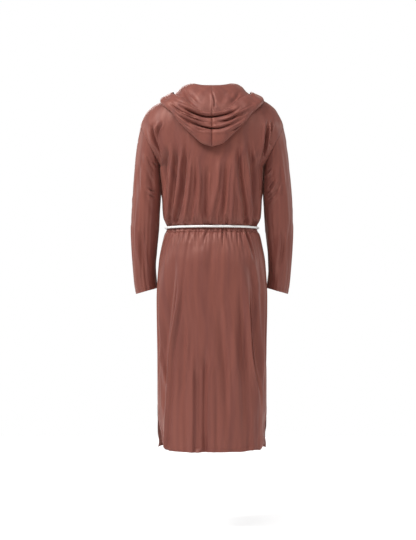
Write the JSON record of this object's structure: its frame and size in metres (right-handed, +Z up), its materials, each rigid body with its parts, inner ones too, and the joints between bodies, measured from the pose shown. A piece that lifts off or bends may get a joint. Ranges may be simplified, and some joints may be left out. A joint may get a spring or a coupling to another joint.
{
  "type": "monk costume",
  "caption": "Worn hooded monk's robe with long sleeves, the hood lowered on the back, side slits at the hem and a thin rope tied round the waist.",
  "frame": {"origin": "the wearer's shoulder line, midway between the shoulders, where the robe hangs from them", "axes": "+Z up, -Y out of the robe's front, +X to the wearer's left"},
  "size_m": [0.5698, 0.3093, 1.2776],
  "materials": {
    "robe_cloth": "thin brown knit with a soft sheen",
    "white_rope": "white twisted rope, matt"
  },
  "bodies": {
    "root": {"back_bodice": "robe_cloth", "front_bodice": "robe_cloth", "back_skirt": "robe_cloth", "front_skirt": "robe_cloth", "sleeve_left": "robe_cloth", "sleeve_right": "robe_cloth", "hood_left": "robe_cloth", "hood_right": "robe_cloth", "waist_rope": "white_rope", "rope_knot": "white_rope", "rope_end_left": "white_rope", "stopper_knot_left": "white_rope", "rope_end_right": "white_rope", "stopper_knot_right": "white_rope"}
  },
  "joints": []
}
